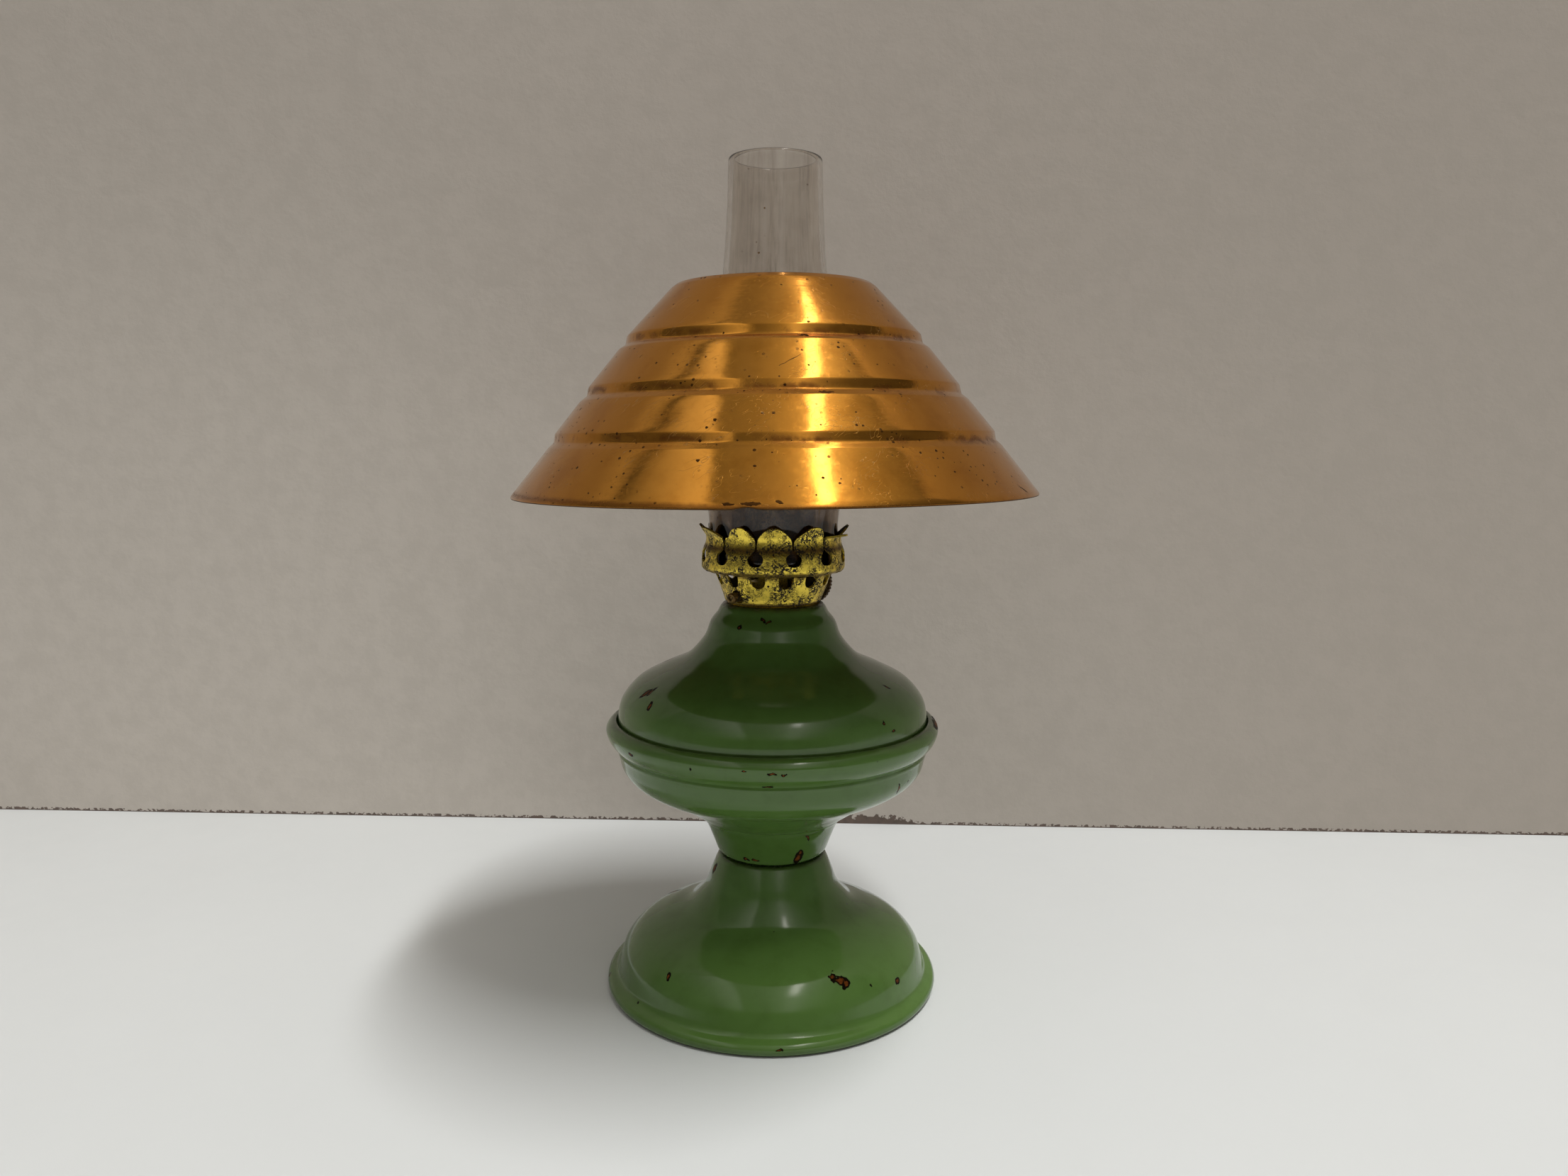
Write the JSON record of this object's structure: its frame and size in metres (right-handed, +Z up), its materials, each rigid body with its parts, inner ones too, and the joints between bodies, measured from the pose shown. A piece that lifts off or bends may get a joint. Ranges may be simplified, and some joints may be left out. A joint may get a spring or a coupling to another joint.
{
  "type": "kerosene lamp",
  "caption": "Miniature kerosene lamp: domed tin foot and font, perforated brass burner with a wick winder, pronged gallery, glass chimney and a stepped conical metal shade.",
  "frame": {"origin": "on the table, in the middle of the foot", "axes": "+Z up along the lamp's axis, front towards -Y, the thumbwheel at the back right"},
  "size_m": [0.1152, 0.1152, 0.1846],
  "materials": {
    "green_paint": "glossy enamel, chipped",
    "steel": "dull",
    "brass": "pitted and tarnished",
    "heat_stained_brass": "heat-stained",
    "blackened_brass": "blackened",
    "cotton": "woven",
    "glass": "clear, slightly sooty",
    "copper": "semi-gloss copper, tarnished"
  },
  "bodies": {
    "font": {"foot": "green_paint", "stem_cup": "green_paint", "stem_rivet": "steel", "font_bowl": "green_paint", "font_dome": "green_paint", "font_collar": "brass"},
    "burner": {"burner_skirt": "brass", "burner_basket": "brass", "gallery_crown": "brass", "air_diffuser": "brass", "deflector_dome": "heat_stained_brass", "wick_tube": "brass", "spur_cover": "brass", "shaft_bush": "brass"},
    "winder": {"winder_shaft": "brass", "spur_wheel_front": "brass", "spur_wheel_rear": "brass", "thumbwheel": "blackened_brass"},
    "wick": {"wick": "cotton"},
    "chimney": {"chimney": "glass"},
    "shade": {"shade": "copper"}
  },
  "joints": [
    {"name": "burner_lift", "type": "slide", "parent": "font", "child": "burner", "axis": [0, 0, 1], "range_m": [0, 0.05]},
    {"name": "winder_turn", "type": "hinge", "parent": "burner", "child": "winder", "pos_m": [-0.00211, 0.00115, 0.0907], "axis": [-0.4772, -0.8788, 0], "range_deg": [-150, 250]},
    {"name": "wick_slide", "type": "slide", "parent": "burner", "child": "wick", "axis": [0, 0, 1], "range_m": [-0.0047, 0.0078]},
    {"name": "chimney_lift", "type": "slide", "parent": "burner", "child": "chimney", "axis": [0, 0, 1], "range_m": [0, 0.03]},
    {"name": "shade_lift", "type": "slide", "parent": "chimney", "child": "shade", "axis": [0, 0, 1], "range_m": [0, 0.035]}
  ],
  "couplings": [
    {"joint": "winder_turn", "follows": "wick_slide", "rad_per_m": 555.56}
  ]
}
